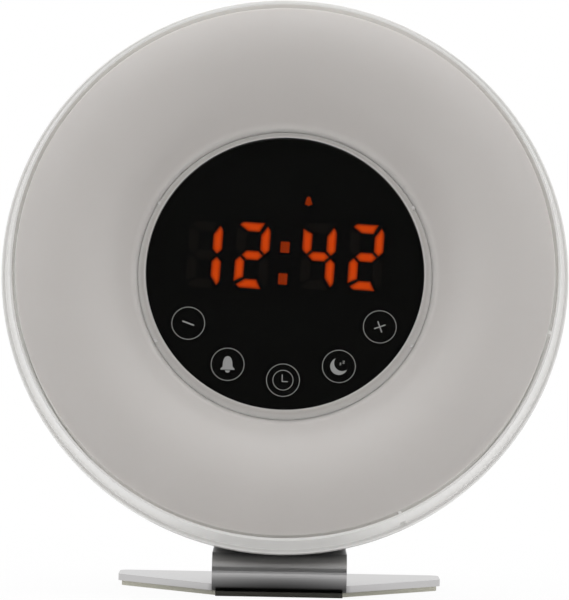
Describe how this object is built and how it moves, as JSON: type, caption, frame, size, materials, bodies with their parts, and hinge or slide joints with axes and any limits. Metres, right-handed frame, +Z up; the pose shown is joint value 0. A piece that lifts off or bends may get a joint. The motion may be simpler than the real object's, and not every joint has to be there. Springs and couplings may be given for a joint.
{
  "type": "sunrise alarm clock",
  "caption": "Round bedside alarm clock with an opal lamp ring round a black digital face, leaning back on a folded sheet-metal stand with a rubber foot pad.",
  "frame": {"origin": "on the underside of the foot pad, straight below the centre of the head", "axes": "+Z up; the face looks along -Y and leans back 12.5 degrees; +X to the viewer's right"},
  "size_m": [0.17, 0.0713, 0.1792],
  "materials": {
    "opal_plastic": "satin moulded opal polycarbonate",
    "clear_plastic": "clear polished acrylic",
    "smoked_plastic": "gloss smoked acrylic",
    "lit_amber": "lit amber light pipe",
    "dark_lens": "unlit light pipe",
    "black_plastic": "black moulded plastic",
    "spring_steel": "bright spring wire",
    "circuit_board": "green solder mask",
    "white_plastic": "white moulded reflector",
    "white_circuit_board": "white solder mask",
    "led_package": "lamp phosphor in a white package",
    "screw_steel": "zinc-plated screw",
    "chip_resin": "black moulding resin",
    "capacitor_sleeve": "shrunk blue sleeve",
    "socket_nylon": "natural nylon",
    "nickel_contact": "nickel-plated contact",
    "speaker_steel": "black painted pressing",
    "ferrite": "dark ferrite",
    "cone_paper": "black coated paper",
    "grille_plastic": "fine matt moulding",
    "housing_plastic": "white moulded ABS, fine texture",
    "key_plastic": "satin moulded keys",
    "door_plastic": "white moulded ABS",
    "satin_sheet_metal": "satin silver sheet",
    "foot_rubber": "dark grey rubber sheet"
  },
  "bodies": {
    "clock": {"front_diffuser": "opal_plastic", "clear_rim": "clear_plastic", "display_bezel": "clear_plastic", "display_window": "smoked_plastic", "lit_segments": "lit_amber", "dark_segments": "dark_lens", "digit_module": "black_plastic", "touch_springs": "spring_steel", "display_board": "circuit_board", "light_tray": "white_plastic", "led_ring_board": "white_circuit_board", "leds": "led_package", "main_board": "circuit_board", "main_board_screws": "screw_steel", "control_chip": "chip_resin", "sound_chip": "chip_resin", "capacitors": "capacitor_sleeve", "board_sockets": "socket_nylon", "dc_jack": "black_plastic", "dc_jack_pin": "nickel_contact", "speaker_basket": "speaker_steel", "speaker_magnet": "ferrite", "speaker_cone": "cone_paper", "speaker_grille": "grille_plastic", "rear_housing": "housing_plastic", "tact_switches": "black_plastic", "key_board": "circuit_board", "key_board_screws": "screw_steel", "coin_cell": "nickel_contact", "cell_contact": "nickel_contact", "case_screws": "screw_steel", "stand_bracket": "satin_sheet_metal", "stand_screws": "screw_steel", "foot_pad": "foot_rubber"},
    "light_key": {"light_key": "key_plastic"},
    "sound_key": {"sound_key": "key_plastic"},
    "radio_key": {"radio_key": "key_plastic"},
    "dimmer_key": {"dimmer_key": "key_plastic"},
    "battery_door": {"battery_door": "door_plastic", "battery_door_screw": "screw_steel"}
  },
  "joints": [
    {"name": "light_key_press", "type": "slide", "parent": "clock", "child": "light_key", "axis": [0, -0.9763, 0.2164], "range_m": [0, 0.0007], "stiffness_N_per_m": 300},
    {"name": "sound_key_press", "type": "slide", "parent": "clock", "child": "sound_key", "axis": [0, -0.9763, 0.2164], "range_m": [0, 0.0007], "stiffness_N_per_m": 300},
    {"name": "radio_key_press", "type": "slide", "parent": "clock", "child": "radio_key", "axis": [0, -0.9763, 0.2164], "range_m": [0, 0.0007], "stiffness_N_per_m": 300},
    {"name": "dimmer_key_press", "type": "slide", "parent": "clock", "child": "dimmer_key", "axis": [0, -0.9763, 0.2164], "range_m": [0, 0.0007], "stiffness_N_per_m": 300},
    {"name": "battery_door_lift", "type": "slide", "parent": "clock", "child": "battery_door", "axis": [0, 0.9763, -0.2164], "range_m": [0, 0.012]}
  ]
}
